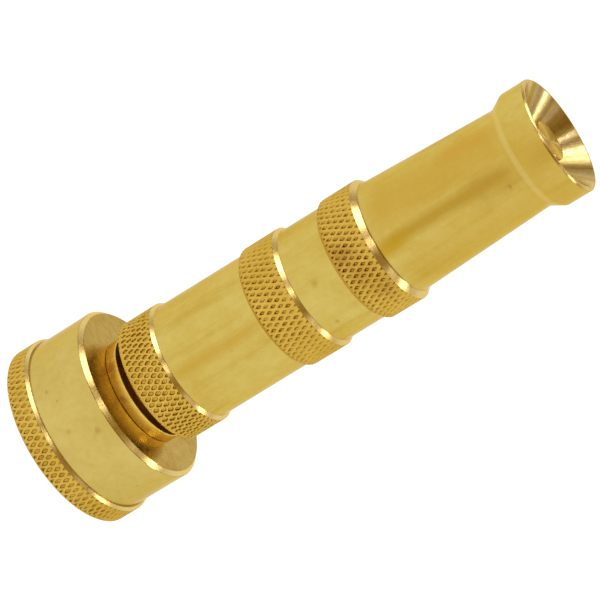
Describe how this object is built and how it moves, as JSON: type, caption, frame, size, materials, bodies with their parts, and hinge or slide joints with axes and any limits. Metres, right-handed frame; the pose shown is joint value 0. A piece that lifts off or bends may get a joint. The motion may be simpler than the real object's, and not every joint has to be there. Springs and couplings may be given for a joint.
{
  "type": "hose spray nozzle",
  "caption": "Turned brass twist nozzle for a garden hose: a knurled barrel screws along a hollow stem to open and close a flared spray mouth.",
  "frame": {"origin": "centre of the hose coupling's rear face, which the nozzle stands on", "axes": "+Z along the nozzle's axis, from the hose towards the spray mouth; X and Y are across it and equal"},
  "size_m": [0.0334, 0.0334, 0.1016],
  "materials": {
    "coupling_brass": "satin turned, unlacquered",
    "barrel_brass": "satin turned, unlacquered, bright cut mouth",
    "stem_brass": "turned, darkened with age",
    "plunger_brass": "fine turned",
    "seal_rubber": "matt black rubber",
    "washer_rubber": "matt black rubber"
  },
  "bodies": {
    "base": {"hose_coupling": "coupling_brass", "hose_washer": "washer_rubber", "stem": "stem_brass", "stem_seal": "seal_rubber", "plunger": "plunger_brass", "shut_off_seal": "seal_rubber"},
    "rear_seal": {"barrel_rear_seal": "seal_rubber"},
    "barrel": {"barrel": "barrel_brass"}
  },
  "joints": [
    {"name": "barrel_travel", "type": "slide", "parent": "base", "child": "rear_seal", "axis": [0, 0, 1], "range_m": [0, 0.008]},
    {"name": "barrel_twist", "type": "hinge", "parent": "rear_seal", "child": "barrel", "pos_m": [0, 0, 0.05], "axis": [0, 0, 1], "range_deg": [0, 900]}
  ],
  "couplings": [
    {"joint": "barrel_travel", "follows": "barrel_twist", "m_per_rad": 0.00050929}
  ]
}
